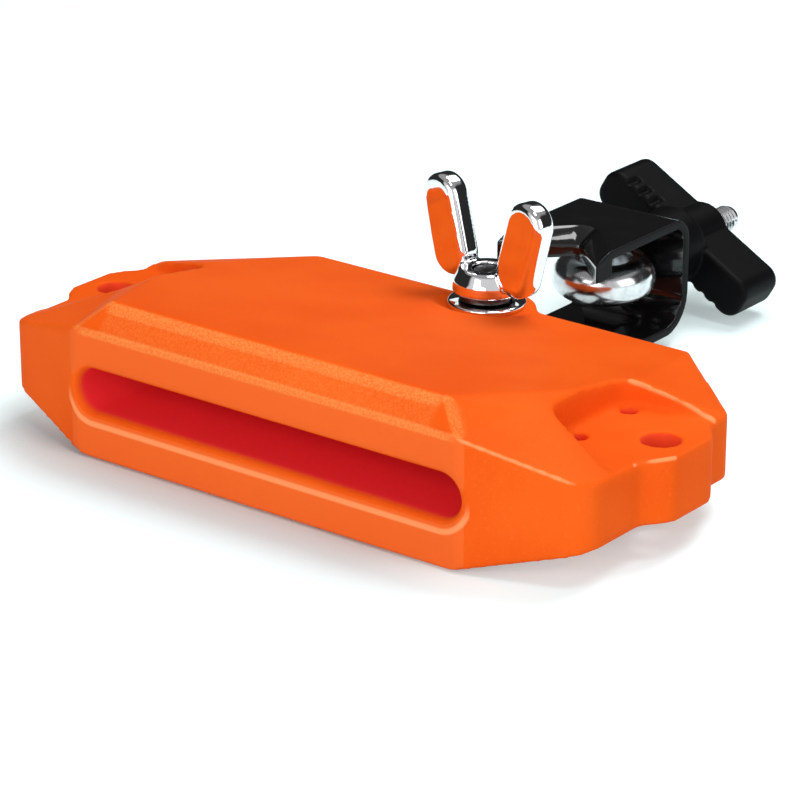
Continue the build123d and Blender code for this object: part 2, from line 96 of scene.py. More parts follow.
# %% [markdown]
# ## Node arithmetic
# A finish is easier to read as a formula than as a chain of boxes. One small class wraps a socket,
# so that `1 - mask` or `grain * 0.2` adds the Math nodes by itself. Any other node comes from the
# `node` method of the tree: its type, its settings, then the values or links of its sockets.

# %% Wrap sockets and trees
class Wire:
    """An output socket that takes part in sums."""

    def __init__(self, tree, socket):
        self.tree = tree
        self.socket = socket

    def math(self, operation, *values):
        return self.tree.node("ShaderNodeMath", {"operation": operation}, dict(enumerate(values)))

    def __add__(self, other):
        return self.math("ADD", self, other)

    def __sub__(self, other):
        return self.math("SUBTRACT", self, other)

    def __mul__(self, other):
        return self.math("MULTIPLY", self, other)

    def __rsub__(self, other):
        return self.math("SUBTRACT", other, self)

    def __lt__(self, other):
        return self.math("LESS_THAN", self, other)

    def __gt__(self, other):
        return self.math("GREATER_THAN", self, other)

    __radd__ = __add__
    __rmul__ = __mul__

    def size(self):
        return self.math("ABSOLUTE", self)

    def clip(self):
        """Nothing below zero."""
        return self.math("MAXIMUM", self, 0.0)

    def root(self):
        return self.math("SQRT", self)

    def ramp(self, start, end):
        """0 below start, 1 above end and a soft rise between."""
        limits = {0: self, 1: start, 2: end, 3: 0.0, 4: 1.0}
        return self.tree.node("ShaderNodeMapRange", {"interpolation_type": "SMOOTHSTEP"}, limits)


class Tree:
    """A node tree under construction."""

    def __init__(self, owner):
        owner.use_nodes = True
        self.nodes = owner.node_tree.nodes
        self.links = owner.node_tree.links
        self.nodes.clear()

    def node(self, kind, settings=None, inputs=None, output=0):
        made = self.nodes.new(kind)
        for name, value in (settings or {}).items():
            setattr(made, name, value)
        for name, value in (inputs or {}).items():
            if isinstance(value, Wire):
                self.links.new(value.socket, made.inputs[name])
            else:
                made.inputs[name].default_value = value
        return Wire(self, made.outputs[output]) if len(made.outputs) else made

    def place(self):
        """The place on the piece, in metres of the shared frame."""
        return self.node("ShaderNodeTexCoord", output="Object")

    def axes(self, vector):
        split = self.node("ShaderNodeSeparateXYZ", None, {0: vector})
        outputs = split.socket.node.outputs
        return [Wire(self, outputs[index]) for index in range(3)]

    def ray(self, kind):
        """1 where a ray of one kind meets the surface: Camera, Glossy or Transmission."""
        return self.node("ShaderNodeLightPath", output=f"Is {kind} Ray")

    def noise(self, vector, grain, detail=2.0, roughness=0.5):
        """Cloudy noise with lumps about one grain across."""
        inputs = {"Vector": vector, "Scale": 1 / grain, "Detail": detail, "Roughness": roughness}
        return self.node("ShaderNodeTexNoise", None, inputs)

    def blend(self, share, first, second):
        """A colour between two colours."""
        return self.node("ShaderNodeMix", {"data_type": "RGBA"}, {0: share, 6: first, 7: second}, 2)

    def bump(self, height, depth, strength=1.0):
        inputs = {"Height": height, "Distance": depth, "Strength": strength}
        return self.node("ShaderNodeBump", None, inputs)


def surface(name, colour, roughness, normal=None, **fixed):
    """The last step of a finish: one shader with its varying and its fixed values."""
    tree = colour.tree
    inputs = {"Base Color": colour, "Roughness": roughness}
    inputs.update({key.replace("_", " "): value for key, value in fixed.items()})
    if normal is not None:
        inputs["Normal"] = normal
    shader = tree.node("ShaderNodeBsdfPrincipled", None, inputs)
    tree.node("ShaderNodeOutputMaterial", None, {"Surface": shader})
    print("finish:", name)


def new_finish(name):
    material = bpy.data.materials.new(name)
    return material, Tree(material)


# %% [markdown]
# ## Floor and light
# The photograph has a white ground with a soft shadow. The floor is pale and matt. For the camera,
# and for what metal mirrors, it also glows a little, so that lit floor reads white and the shadow
# stays. Just in front of the block, where the block hides the sky, the glow is weaker: a painted
# shadow on the floor. The studio sky is dim low down, soft overhead and bright in front, which keeps
# black paint black and draws dark lines in the chrome. The key lamp stands behind and above. The fill
# and side lamps light the walls that the camera sees, and the glint lamp draws the bar of light on
# the bracket.

# %% Light the stage
FLOOR_SIZE = 8.0
FLOOR_TINT = (0.67, 0.78, 0.79, 1)
FLOOR_GLOW = (0.35, 0.40, 0.40, 1)
SHADE_REACH = 0.15
SHADE_OPEN = (0.48, 0.97)
SHADE_ACROSS = (0.03, 0.075)
SHADE_ALONG = (-0.105, -0.08)
SKY_LOW = 0.03
SKY_HIGH = 0.4
SKY_FRONT = 0.8
FRONT_HEADING = (0.6, -0.8)
FRONT_EDGE = (0.25, 0.4)
OVERHEAD_EDGE = (0.6, 0.72)

bpy.ops.mesh.primitive_plane_add(size=FLOOR_SIZE)
floor = bpy.context.object
floor.name = "floor"
floor_finish, tree = new_finish("pale_floor")
seen = tree.ray("Camera") + tree.ray("Glossy") + tree.ray("Transmission")
matt = tree.node("ShaderNodeBsdfDiffuse", None, {"Color": FLOOR_TINT})
glow = tree.node("ShaderNodeEmission", None, {"Color": FLOOR_GLOW})
both = tree.node("ShaderNodeAddShader", None, {0: matt, 1: glow})
across, along, up = tree.axes(tree.place())
# Painted shadow: the floor's glow is dimmed in front of the block, where the block hides the sky.
open_sky = tree.node("ShaderNodeAmbientOcclusion", None, {"Distance": SHADE_REACH}, output="AO")
before_block = (1 - across.ramp(*SHADE_ACROSS)) * (1 - along.ramp(*SHADE_ALONG))
shade = (1 - open_sky.ramp(*SHADE_OPEN)) * before_block
mixed = tree.node("ShaderNodeMixShader", None, {0: seen * (1 - shade), 1: matt, 2: both})
tree.node("ShaderNodeOutputMaterial", None, {"Surface": mixed})
floor.data.materials.append(floor_finish)
floor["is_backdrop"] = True

world = bpy.data.worlds.new("studio")
bpy.context.scene.world = world
tree = Tree(world)
across, along, up = tree.axes(tree.node("ShaderNodeTexCoord", output="Generated"))
in_front = (across * FRONT_HEADING[0] + along * FRONT_HEADING[1]).ramp(*FRONT_EDGE)
overhead = up.ramp(*OVERHEAD_EDGE)
sky = SKY_LOW + overhead * (SKY_HIGH - SKY_LOW) + in_front * (SKY_FRONT * (1 - overhead))
camera_ray = tree.ray("Camera")
strength = sky * (1 - camera_ray) + camera_ray
background = tree.node("ShaderNodeBackground", None, {"Strength": strength})
tree.node("ShaderNodeOutputWorld", None, {"Surface": background})


def softbox(name, place, width, power):
    """A square lamp that looks at the block."""
    bpy.ops.object.select_all(action="DESELECT")
    bpy.ops.object.light_add(type="AREA", location=place)
    lamp = bpy.context.object
    lamp.name = name
    lamp.data.size = width
    lamp.data.energy = power
    lamp.rotation_mode = "QUATERNION"
    lamp.rotation_quaternion = (CAMERA_TARGET - lamp.location).to_track_quat("-Z", "Y")


softbox("key_lamp", (0.05, 0.55, 1.1), width=0.6, power=8.6)
softbox("glint_lamp", (0.39, -0.15, 1.1), width=0.32, power=2.8)
softbox("fill_lamp", (0.2, -1.2, 0.35), width=0.9, power=8.4)
softbox("side_lamp", (1.2, 0.0, 0.5), width=0.8, power=3.0)
print("stage ready")

# %% [markdown]
# ## Sizes of the block
# The block's corners are given as on a drawing: half length, depth behind the front face and height.
# A hole is given by its half length, its depth and its radius. The finish reads some of these sizes,
# so they come before it.

# %% Sizes of the block
block_low, block_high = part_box("block_body")
FRONT_Y = block_low.y
FRONT_HALF = 59.2 * MM
END_HALF = 89.6 * MM
REAR_HALF = 89.8 * MM
BACK_HALF = 58.8 * MM
FRONT_CORNER_DEPTH = 9.2 * MM
REAR_CORNER_DEPTH = 67.6 * MM
BLOCK_DEPTH = 97.0 * MM
BLOCK_TOP = 41.0 * MM
BAND_TOP = 26.2 * MM
BAND_BOTTOM = 9.5 * MM
RIDGE_HALF = 51.6 * MM
RIDGE_DEPTH = 5.5 * MM
FRONT_TOP = 34.0 * MM
FOOT_HALF = 56.5 * MM
FOOT_REAR_INSET = 9.0 * MM
REAR_SLOPE = tan(radians(17))
SLOT_CENTRE_Z = 18.0 * MM
SLOT_LENGTH = 119.0 * MM
SLOT_HEIGHT = 11.2 * MM
SLOT_DEPTH = 62.0 * MM
LIP_ROLL = 2.8 * MM
EAR_HOLE = (85.7 * MM, 44.7 * MM, 4.75 * MM)
SCREW_HOLES = [(69.4 * MM, depth * MM, 2.1 * MM) for depth in (34.3, 55.1)]
SIDES = (1, -1)
PLAN = (
    (FRONT_HALF, 0),
    (END_HALF, FRONT_CORNER_DEPTH),
    (REAR_HALF, REAR_CORNER_DEPTH),
    (BACK_HALF, BLOCK_DEPTH),
)
print("block front at", round(FRONT_Y / MM, 1), "mm")

# %% [markdown]
# ## Orange moulding
# The block is ABS with a gritty textured skin: bright orange with a fine grain. Its lighter specks
# are the grain's own tone and partly painted glints. The front face is painted a lighter orange, as
# painted light. Inside the slot and the holes the colour is painted deep red, a painted shade of
# light that has bounced many times. Painted highlights, broken up by grit, lie on the brow, and thin
# painted highlights run along the edges of the slot's lip and of the right end. Grain is bump noise
# at a fraction of a millimetre. Each mask is made from places on the block.

# %% Orange skin
SKIN = (0.83, 0.096, 0.007, 1)
SKIN_PALE = (0.87, 0.116, 0.010, 1)
SKIN_SPECK_GLINT = (1.0, 0.2, 0.04, 1)
SKIN_FRONT_LIT = (0.87, 0.14, 0.025, 1)
SKIN_BOUNCE_RED = (0.98, 0.04, 0.05, 1)
SKIN_BROW_HIGHLIGHT = (0.90, 0.24, 0.055, 1)
SKIN_EDGE_HIGHLIGHT = (1.0, 0.36, 0.14, 1)
SPECK_GLINT_SHARE = 0.25
FRONT_LIT_DEPTH = 0.6 * MM
FRONT_LIT_SHARE = 0.8

orange_plastic, tree = new_finish("orange_plastic")
place = tree.place()
across, along, up = tree.axes(place)
half = across.size()
depth = along - FRONT_Y
cloud = tree.noise(place, 30 * MM)
speck = tree.noise(place, 0.9 * MM, detail=3.0, roughness=0.65)
grit = tree.noise(place, 0.55 * MM, detail=3.0, roughness=0.6)
grain = tree.noise(place, 0.45 * MM, detail=2.0)
skin = tree.blend(cloud.ramp(0.3, 0.7), SKIN, SKIN_PALE)
# Lighter specks: the grain's own tone, and partly a painted glint of the grain.
skin = tree.blend(speck.ramp(0.55, 0.75) * SPECK_GLINT_SHARE, skin, SKIN_SPECK_GLINT)
# Painted light: the front face is painted a lighter orange than the rest of the block.
skin = tree.blend((depth < FRONT_LIT_DEPTH) * FRONT_LIT_SHARE, skin, SKIN_FRONT_LIT)
print("orange skin ready")

# %% Painted highlights on the brow
RIDGE_LINE_DEPTH = 5.0 * MM
RIDGE_LINE_WIDTH = 2.2 * MM
RIDGE_LINE_FOOT = 38.5 * MM
RIDGE_SHARE = 0.55
WASH_START = 0.4 * MM
WASH_FADE = (5.5 * MM, 7.2 * MM)
WASH_SHARE = 0.45
BROW_FADE = (50 * MM, 53 * MM)
FRONT_LINE_HEIGHT = 33.6 * MM
FRONT_LINE_WIDTH = 1.4 * MM
FRONT_LINE_DEPTH = 1.6 * MM
FRONT_LINE_FADE = (56 * MM, 60 * MM)
CHEEK_LINE_WIDTH = 1.5 * MM
CHEEK_LINE_FOOT = 33.5 * MM
CHEEK_LINE_DEPTH = 7 * MM
CHEEK_SHARE = 0.7


def band(distance, width):
    """Full on a line, fading to nothing at a width on either side of it."""
    return 1 - distance.size().ramp(width * 0.35, width)


# Painted highlights on the ridge, the brow's top and front edges and the cheeks, broken up by grit.
highlight_grit = grit.ramp(0.35, 0.65) * 0.5 + 0.4
on_brow = 1 - half.ramp(*BROW_FADE)
ridge_highlight = band(depth - RIDGE_LINE_DEPTH, RIDGE_LINE_WIDTH) * (up > RIDGE_LINE_FOOT) * on_brow
brow_top_highlight = (1 - depth.ramp(*WASH_FADE)) * (depth > WASH_START) * (up > FRONT_TOP) * on_brow
front_highlight = band(up - FRONT_LINE_HEIGHT, FRONT_LINE_WIDTH) * (depth < FRONT_LINE_DEPTH)
front_highlight = front_highlight * (1 - half.ramp(*FRONT_LINE_FADE))
cheek_lean = (FRONT_HALF - RIDGE_HALF) / (FRONT_TOP - BLOCK_TOP)
off_cheek = half - ((up - BLOCK_TOP) * cheek_lean + RIDGE_HALF)
cheek_highlight = band(off_cheek, CHEEK_LINE_WIDTH) * (up > CHEEK_LINE_FOOT) * (depth < CHEEK_LINE_DEPTH)
highlit = ridge_highlight * RIDGE_SHARE + brow_top_highlight * WASH_SHARE + front_highlight + cheek_highlight * CHEEK_SHARE
skin = tree.blend((highlit * highlight_grit).ramp(0.0, 1.0), skin, SKIN_BROW_HIGHLIGHT)
print("sandy brow ready")

# %% Painted edge highlights and painted deep red in the hollows
CORNER_EDGE = [(59.2, 0.0, 34.0), (87.5, 8.6, 26.7)]
POCKET_EDGE = [(67.0, 58.6, 32.4), (80.0, 60.4, 29.9), (91.0, 61.9, 26.0)]
EAR_EDGE = [(89.4, 28.0, 26.0), (91.8, 33.2, 26.0), (94.6, 38.0, 26.0)]
THIN_LINE = 0.9 * MM
POCKET_LINE = 1.2 * MM
LIP_LINE = 1.0 * MM
LIP_FADE = (SLOT_CENTRE_Z - 5 * MM, SLOT_CENTRE_Z + 1 * MM)
EDGE_HIGHLIGHT_SHARE = 0.7
BOUNCE_DEPTHS = (LIP_ROLL * 0.5, LIP_ROLL * 1.3)
BOUNCE_MARGIN = 0.3 * MM
HOLE_TOP = 25.6 * MM
HOLE_BOUNCE_SHARE = 0.4


def edge_highlight(corners, width):
    """A thin painted highlight along an edge, through corners in millimetres of half length, depth
    and height.
    """
    pieces = []
    for start, end in zip(corners, corners[1:]):
        start, end = Vector(start) * MM, Vector(end) * MM
        run = (end - start).normalized()
        gaps = half - start.x, depth - start.y, up - start.z
        passed = gaps[0] * run.x + gaps[1] * run.y + gaps[2] * run.z
        apart = gaps[0] * gaps[0] + gaps[1] * gaps[1] + gaps[2] * gaps[2] - passed * passed
        on_run = (passed > 0.0) * (passed < (end - start).length)
        pieces.append(band(apart.clip().root(), width) * on_run)
    return sum(pieces)


past_end = (half - (SLOT_LENGTH - SLOT_HEIGHT) / 2).clip()
off_level = up - SLOT_CENTRE_Z
off_slot = (past_end * past_end + off_level * off_level).root() - SLOT_HEIGHT / 2
# Painted highlights: thin pale bands on the slot's lower lip and, on the right side only, the end's
# edges.
lip_highlight = band(off_slot - LIP_ROLL, LIP_LINE) * (depth < 1 * MM) * (1 - up.ramp(*LIP_FADE))
end_highlights = edge_highlight(CORNER_EDGE, THIN_LINE) + edge_highlight(EAR_EDGE, THIN_LINE)
end_highlights = (end_highlights + edge_highlight(POCKET_EDGE, POCKET_LINE)) * (across > 0.0)
skin = tree.blend((end_highlights + lip_highlight) * EDGE_HIGHLIGHT_SHARE, skin, SKIN_EDGE_HIGHLIGHT)
# Painted bounced light and shade: the colour turns deep red inside the slot and the holes.
slot_painted_bounce = depth.ramp(*BOUNCE_DEPTHS) * (off_slot < BOUNCE_MARGIN) * (depth < SLOT_DEPTH + 1 * MM)
skin = tree.blend(slot_painted_bounce, skin, SKIN_BOUNCE_RED)
for hole_half, hole_depth, hole_radius in [EAR_HOLE] + SCREW_HOLES:
    gaps = half - hole_half, depth - hole_depth
    hole_painted_bounce = (gaps[0] * gaps[0] + gaps[1] * gaps[1]).root() < hole_radius + BOUNCE_MARGIN
    skin = tree.blend(hole_painted_bounce * (up < HOLE_TOP) * HOLE_BOUNCE_SHARE, skin, SKIN_BOUNCE_RED)
bumps = tree.bump(grain * 0.6 + speck * 0.4, 0.10 * MM, 0.55)
surface("orange_plastic", skin, 0.42 + speck * 0.2, bumps, Specular_IOR_Level=0.02)

# %% [markdown]
# ## Metals and black finishes
# Chrome is nearly a mirror with faint polishing haze. Zinc plate is softer and mottled. The bracket
# is gloss black paint with a slight orange peel, dull on the strip's cut edges, and the handle is a
# matt black moulding.

# %% Metals and black finishes
DULL_RIM = (0.6 * MM, 0.1 * MM)
DULL_ROUGHNESS = 0.5


def plated_metal(name, colour, tint, base_roughness, haze, grain, depth):
    material, tree = new_finish(name)
    place = tree.place()
    mottle = tree.noise(place, grain, detail=4.0, roughness=0.6)
    scratch = tree.noise(place, grain * 0.15, detail=2.0)
    base = tree.blend(mottle.ramp(0.35, 0.7), colour, tint)
    rough = base_roughness + mottle.ramp(0.4, 0.8) * haze
    surface(name, base, rough, tree.bump(scratch, depth, 0.3), Metallic=1.0)
    return material


def black_coat(name, colour, tint, base_roughness, grain, depth, coat, shine, cut_edge=None):
    material, tree = new_finish(name)
    place = tree.place()
    peel = tree.noise(place, grain, detail=2.0)
    dust = tree.noise(place, 9 * MM, detail=4.0, roughness=0.6)
    base = tree.blend(dust.ramp(0.45, 0.8), colour, tint)
    rough = base_roughness + dust * 0.12
    if cut_edge:
        dull = tree.axes(place)[0].size().ramp(*(cut_edge - rim for rim in DULL_RIM))
        rough = rough + dull * DULL_ROUGHNESS
        coat = (1 - dull) * coat
    bumps = tree.bump(peel, depth, 0.5)
    surface(name, base, rough, bumps, Specular_IOR_Level=shine, Coat_Weight=coat, Coat_Roughness=0.04)
    return material


chrome = plated_metal(
    "chrome", (0.92, 0.92, 0.93, 1), (0.86, 0.86, 0.88, 1),
    base_roughness=0.03, haze=0.05, grain=6 * MM, depth=0.002 * MM,
)
zinc_steel = plated_metal(
    "zinc_steel", (0.78, 0.79, 0.8, 1), (0.62, 0.63, 0.65, 1),
    base_roughness=0.16, haze=0.16, grain=3 * MM, depth=0.01 * MM,
)
dark_steel = plated_metal(
    "dark_steel", (0.06, 0.06, 0.065, 1), (0.12, 0.11, 0.1, 1),
    base_roughness=0.3, haze=0.2, grain=2 * MM, depth=0.02 * MM,
)
insert_brass = plated_metal(
    "insert_brass", (0.75, 0.52, 0.2, 1), (0.6, 0.4, 0.16, 1),
    base_roughness=0.25, haze=0.15, grain=2 * MM, depth=0.01 * MM,
)
black_paint = black_coat(
    "black_paint", (0.004, 0.004, 0.0045, 1), (0.007, 0.007, 0.0075, 1),
    base_roughness=0.08, grain=0.8 * MM, depth=0.004 * MM, coat=1.0, shine=0.15,
    cut_edge=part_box("bracket")[1].x,
)
black_plastic = black_coat(
    "black_plastic", (0.003, 0.003, 0.0033, 1), (0.005, 0.005, 0.0055, 1),
    base_roughness=0.42, grain=0.35 * MM, depth=0.02 * MM, coat=0.0, shine=0.06,
)

# %% [markdown]
# ## Modelling by hand
# Each piece starts as a primitive and is sliced, extruded, bevelled and cut. These helpers do what
# a modeller does: deselect, pick one piece, enter edit mode, act, and leave. Edges and faces are
# picked by their place.

# %% Helpers for modelling
TINY = 1e-6
HAIR = 0.1 * MM


def pick(piece):
    if bpy.context.object and bpy.context.object.mode != "OBJECT":
        bpy.ops.object.mode_set(mode="OBJECT")
    bpy.ops.object.select_all(action="DESELECT")
    piece.select_set(True)
    bpy.context.view_layer.objects.active = piece
    return piece


def settle(piece, name=None):
    """Puts a piece's place into its mesh."""
    pick(piece)
    bpy.ops.object.transform_apply(location=True, rotation=True, scale=True)
    if name:
        piece.name = name
        piece.data.name = name
    return piece


def start_box(name, low, high):
    low, high = Vector(low), Vector(high)
    bpy.ops.object.select_all(action="DESELECT")
    bpy.ops.mesh.primitive_cube_add(size=1, location=(low + high) / 2, scale=high - low)
    return settle(bpy.context.object, name)


def start_round(name, start, end, radius, sides=64):
    """A cylinder between two points."""
    start, end = Vector(start), Vector(end)
    bpy.ops.object.select_all(action="DESELECT")
    bpy.ops.mesh.primitive_cylinder_add(
        vertices=sides, radius=radius, depth=(end - start).length, location=(start + end) / 2
    )
    piece = bpy.context.object
    piece.rotation_mode = "QUATERNION"
    piece.rotation_quaternion = (end - start).to_track_quat("Z", "Y")
    return settle(piece, name)


def edit(piece, mode):
    pick(piece)
    bpy.ops.object.mode_set(mode="EDIT")
    bpy.ops.mesh.select_mode(type=mode)
    bpy.ops.mesh.select_all(action="DESELECT")


def choose_edges(piece, test):
    """Enters edit mode with the edges selected whose two ends pass the test."""
    edit(piece, "EDGE")
    bpy.ops.object.mode_set(mode="OBJECT")
    corners = piece.data.vertices
    for edge in piece.data.edges:
        first, second = (corners[index].co for index in edge.vertices)
        edge.select = test(first, second)
    bpy.ops.object.mode_set(mode="EDIT")


def choose_faces(piece, test):
    """Enters edit mode with the faces selected whose centre and normal pass the test."""
    edit(piece, "FACE")
    bpy.ops.object.mode_set(mode="OBJECT")
    for face in piece.data.polygons:
        face.select = test(face.center, face.normal)
    bpy.ops.object.mode_set(mode="EDIT")


def leave():
    bpy.ops.object.mode_set(mode="OBJECT")


def slice_off(piece, point, normal):
    """Removes what lies beyond a plane and closes the cut."""
    edit(piece, "FACE")
    bpy.ops.mesh.select_all(action="SELECT")
    bpy.ops.mesh.bisect(
        plane_co=point, plane_no=normal, use_fill=True, clear_outer=True, threshold=TINY
    )
    leave()


def round_edges(piece, test, offset, segments=4, profile=0.5):
    choose_edges(piece, test)
    bpy.ops.mesh.bevel(
        offset=offset, offset_type="OFFSET", segments=segments, profile=profile, affect="EDGES"
    )
    leave()


def combine(piece, tool, operation):
    pick(piece)
    cut = piece.modifiers.new("combine", "BOOLEAN")
    cut.operation = operation
    cut.solver = "EXACT"
    cut.object = tool
    bpy.ops.object.modifier_apply(modifier=cut.name)
    bpy.data.objects.remove(tool)
    edit(piece, "VERT")
    bpy.ops.mesh.select_all(action="SELECT")
    bpy.ops.mesh.remove_doubles(threshold=TINY)
    leave()


def tidy_faces(piece, angle=radians(0.3)):
    """Joins doubled points and dissolves the edges that lie flat."""
    edit(piece, "VERT")
    bpy.ops.mesh.select_all(action="SELECT")
    bpy.ops.mesh.remove_doubles(threshold=5 * TINY)
    bpy.ops.mesh.dissolve_limited(angle_limit=angle)
    bpy.ops.mesh.normals_make_consistent(inside=False)
    leave()


def soften(piece, width, segments=3, angle=radians(18)):
    """Rounds every edge that turns by more than an angle, then shades the piece smooth."""
    pick(piece)
    bevel = piece.modifiers.new("soften", "BEVEL")
    bevel.width = width
    bevel.segments = segments
    bevel.limit_method = "ANGLE"
    bevel.angle_limit = angle
    bevel.use_clamp_overlap = False
    bevel.miter_outer = "MITER_ARC"
    bevel.harden_normals = True
    bpy.ops.object.modifier_apply(modifier=bevel.name)
    bpy.ops.object.shade_smooth_by_angle(angle=radians(40))


def cast(piece, voxel, rounds, share=0.5):
    """Rebuilds a piece as one even skin and relaxes it, which rounds every edge and crease."""
    pick(piece)
    skin = piece.modifiers.new("skin", "REMESH")
    skin.mode = "VOXEL"
    skin.voxel_size = voxel
    relax = piece.modifiers.new("relax", "SMOOTH")
    relax.factor = share
    relax.iterations = rounds
    for modifier in (skin, relax):
        bpy.ops.object.modifier_apply(modifier=modifier.name)
    bpy.ops.object.shade_smooth()


def finish_piece(piece, body, slot, material, *nodes):
    """Gives a piece its finish, its body and the nodes it stands for."""
    piece.data.materials.clear()
    piece.data.materials.append(material)
    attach(piece, body)
    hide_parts(*nodes)
    print(piece.name, "rides on", body, "with", len(piece.data.polygons), "faces")


# %% [markdown]
# ## Block: the hull
# The moulding is a faceted tablet. A box is sliced by the planes of its walls, its roof, its brow
# over the slot, its falling ends and its foot. Slicing keeps every facet truly flat.

# %% Corners and facets of the block
def corner(half, depth, height, side=1):
    return Vector((side * half, FRONT_Y + depth, height))


def facet(first, second, third, up=1):
    """A point and a normal of the plane through three corners, facing up or down."""
    normal = (second - first).cross(third - first).normalized()
    if normal.z * up < 0:
        normal = -normal
    return first, normal


def wall(first, second):
    """The upright plane through two corners, facing away from the block's middle."""
    normal = (second - first).cross(Vector((0, 0, 1))).normalized()
    if normal.x * first.x < 0:
        normal = -normal
    return first, normal


def chamfer_facet(rear, back, rise):
    inwards = -wall(rear, back)[1]
    return facet(rear, back, rear + inwards + Vector((0, 0, rise)), 1 if rise > 0 else -1)


def height_on(plane, half, depth, side):
    """The corner where a facet passes over a point of the plan."""
    point, normal = plane
    away = corner(half, depth, point.z, side) - point
    return corner(half, depth, point.z - (normal.x * away.x + normal.y * away.y) / normal.z, side)


# %% Slice the hull
FRONT_CORNER_BEVEL = 6.0 * MM
REAR_CORNER_BEVEL = 1.8 * MM


def at_corner(half, depth):
    """A test for the upright edges at one corner of the plan."""
    def test(first, second):
        return all(
            abs(abs(point.x) - half) < 0.1 * MM and abs(point.y - FRONT_Y - depth) < 0.1 * MM
            for point in (first, second)
        )
    return test


block = start_box("block", corner(-REAR_HALF, 0, 0), corner(REAR_HALF, BLOCK_DEPTH, BLOCK_TOP))
for side in SIDES:
    plan = [corner(half, depth, 0, side) for half, depth in PLAN]
    for first, second in zip(plan, plan[1:]):
        slice_off(block, *wall(first, second))
round_edges(block, at_corner(END_HALF, FRONT_CORNER_DEPTH), FRONT_CORNER_BEVEL, 8)
round_edges(block, at_corner(REAR_HALF, REAR_CORNER_DEPTH), REAR_CORNER_BEVEL, 6)

ridge = {side: corner(RIDGE_HALF, RIDGE_DEPTH, BLOCK_TOP, side) for side in SIDES}
back_edge = [corner(BACK_HALF, BLOCK_DEPTH, BAND_BOTTOM, side) for side in SIDES]
slice_off(block, *facet(ridge[1], ridge[-1], corner(BACK_HALF, BLOCK_DEPTH, BAND_TOP)))
slice_off(block, *facet(ridge[1], ridge[-1], corner(FRONT_HALF, 0, FRONT_TOP)))
slice_off(block, *facet(corner(FOOT_HALF, BLOCK_DEPTH - FOOT_REAR_INSET, 0), *back_edge, up=-1))
for side in SIDES:
    end, rear, back = (corner(half, depth, BAND_TOP, side) for half, depth in PLAN[1:])
    drop = Vector((0, 0, BAND_BOTTOM - BAND_TOP))
    slice_off(block, *facet(ridge[side], end, rear))
    slice_off(block, *chamfer_facet(rear, back, REAR_SLOPE))
    slice_off(block, *facet(corner(FOOT_HALF, 0, 0, side), end + drop, rear + drop, up=-1))
    slice_off(block, *chamfer_facet(rear + drop, back + drop, -REAR_SLOPE))
print("hull:", len(block.data.polygons), "faces")

# %% [markdown]
# ## Block: brow, shoulders, ears and pockets
# The brow over the slot has two broad round edges, so they are bevelled before anything is cut.
# Each front corner then loses a wedge, which leaves a cheek beside the ridge and a sloping shoulder.
# The ears swell out of the end walls in a smooth curve, and a level pocket is cut into each end.

# %% Round the brow and cut the shoulders
BROW_TOP_BEVEL = 1.9 * MM
BROW_FRONT_BEVEL = 1.6 * MM
FOOT_BEVEL = 1.5 * MM
SHOULDER_DEPTH = 25.3 * MM
POCKET_HALF = 66.0 * MM


def along_line(depth, height):
    """A test for the edges that run along the block at one depth and height."""
    def test(first, second):
        return all(
            abs(point.y - FRONT_Y - depth) < 0.05 * MM and abs(point.z - height) < 0.05 * MM
            for point in (first, second)
        )
    return test


round_edges(block, along_line(RIDGE_DEPTH, BLOCK_TOP), BROW_TOP_BEVEL, 6)
round_edges(block, along_line(0, FRONT_TOP), BROW_FRONT_BEVEL, 6)
round_edges(block, along_line(0, 0), FOOT_BEVEL, 4)
for side in SIDES:
    front = corner(FRONT_HALF, 0, FRONT_TOP, side)
    end = corner(END_HALF, FRONT_CORNER_DEPTH, BAND_TOP, side)
    rear = corner(REAR_HALF, REAR_CORNER_DEPTH, BAND_TOP, side)
    shoulder = height_on(facet(ridge[side], end, rear), POCKET_HALF, SHOULDER_DEPTH, side)
    wedge = start_box(
        "wedge",
        corner(-2 * END_HALF, -BLOCK_DEPTH, 0),
        corner(2 * END_HALF, 2 * BLOCK_DEPTH, 2 * BLOCK_TOP),
    )
    slice_off(wedge, *facet(front, end, shoulder, up=-1))
    slice_off(wedge, *facet(ridge[side], front, shoulder, up=-1))
    combine(block, wedge, "DIFFERENCE")
print("shoulders cut:", len(block.data.polygons), "faces")

# %% Swell the ears and cut the pockets
EAR_HALF = block_high.x
EAR_ROOT = 80.0 * MM
EAR_START = 28.0 * MM
EAR_END = 62.0 * MM
EAR_FLARE = 10.5 * MM
EAR_SUNK = 0.5 * MM
EAR_STEPS = 40
POCKET_FRONT = 26.5 * MM
POCKET_REAR = 58.5 * MM
POCKET_FLARE = 4.5 * MM
POCKET_FRONT_FLARE = 10.0 * MM
POCKET_BEVEL = 4.0 * MM
POCKET_OUTER = EAR_HALF + 4.0 * MM


def swell(depth):
    """How far the ear has come out at a depth, from 0 at the wall to 1 on its flat."""
    rise = min(depth - EAR_START, EAR_END - depth) / EAR_FLARE
    return (1 - cos(pi * max(0.0, min(1.0, rise)))) / 2


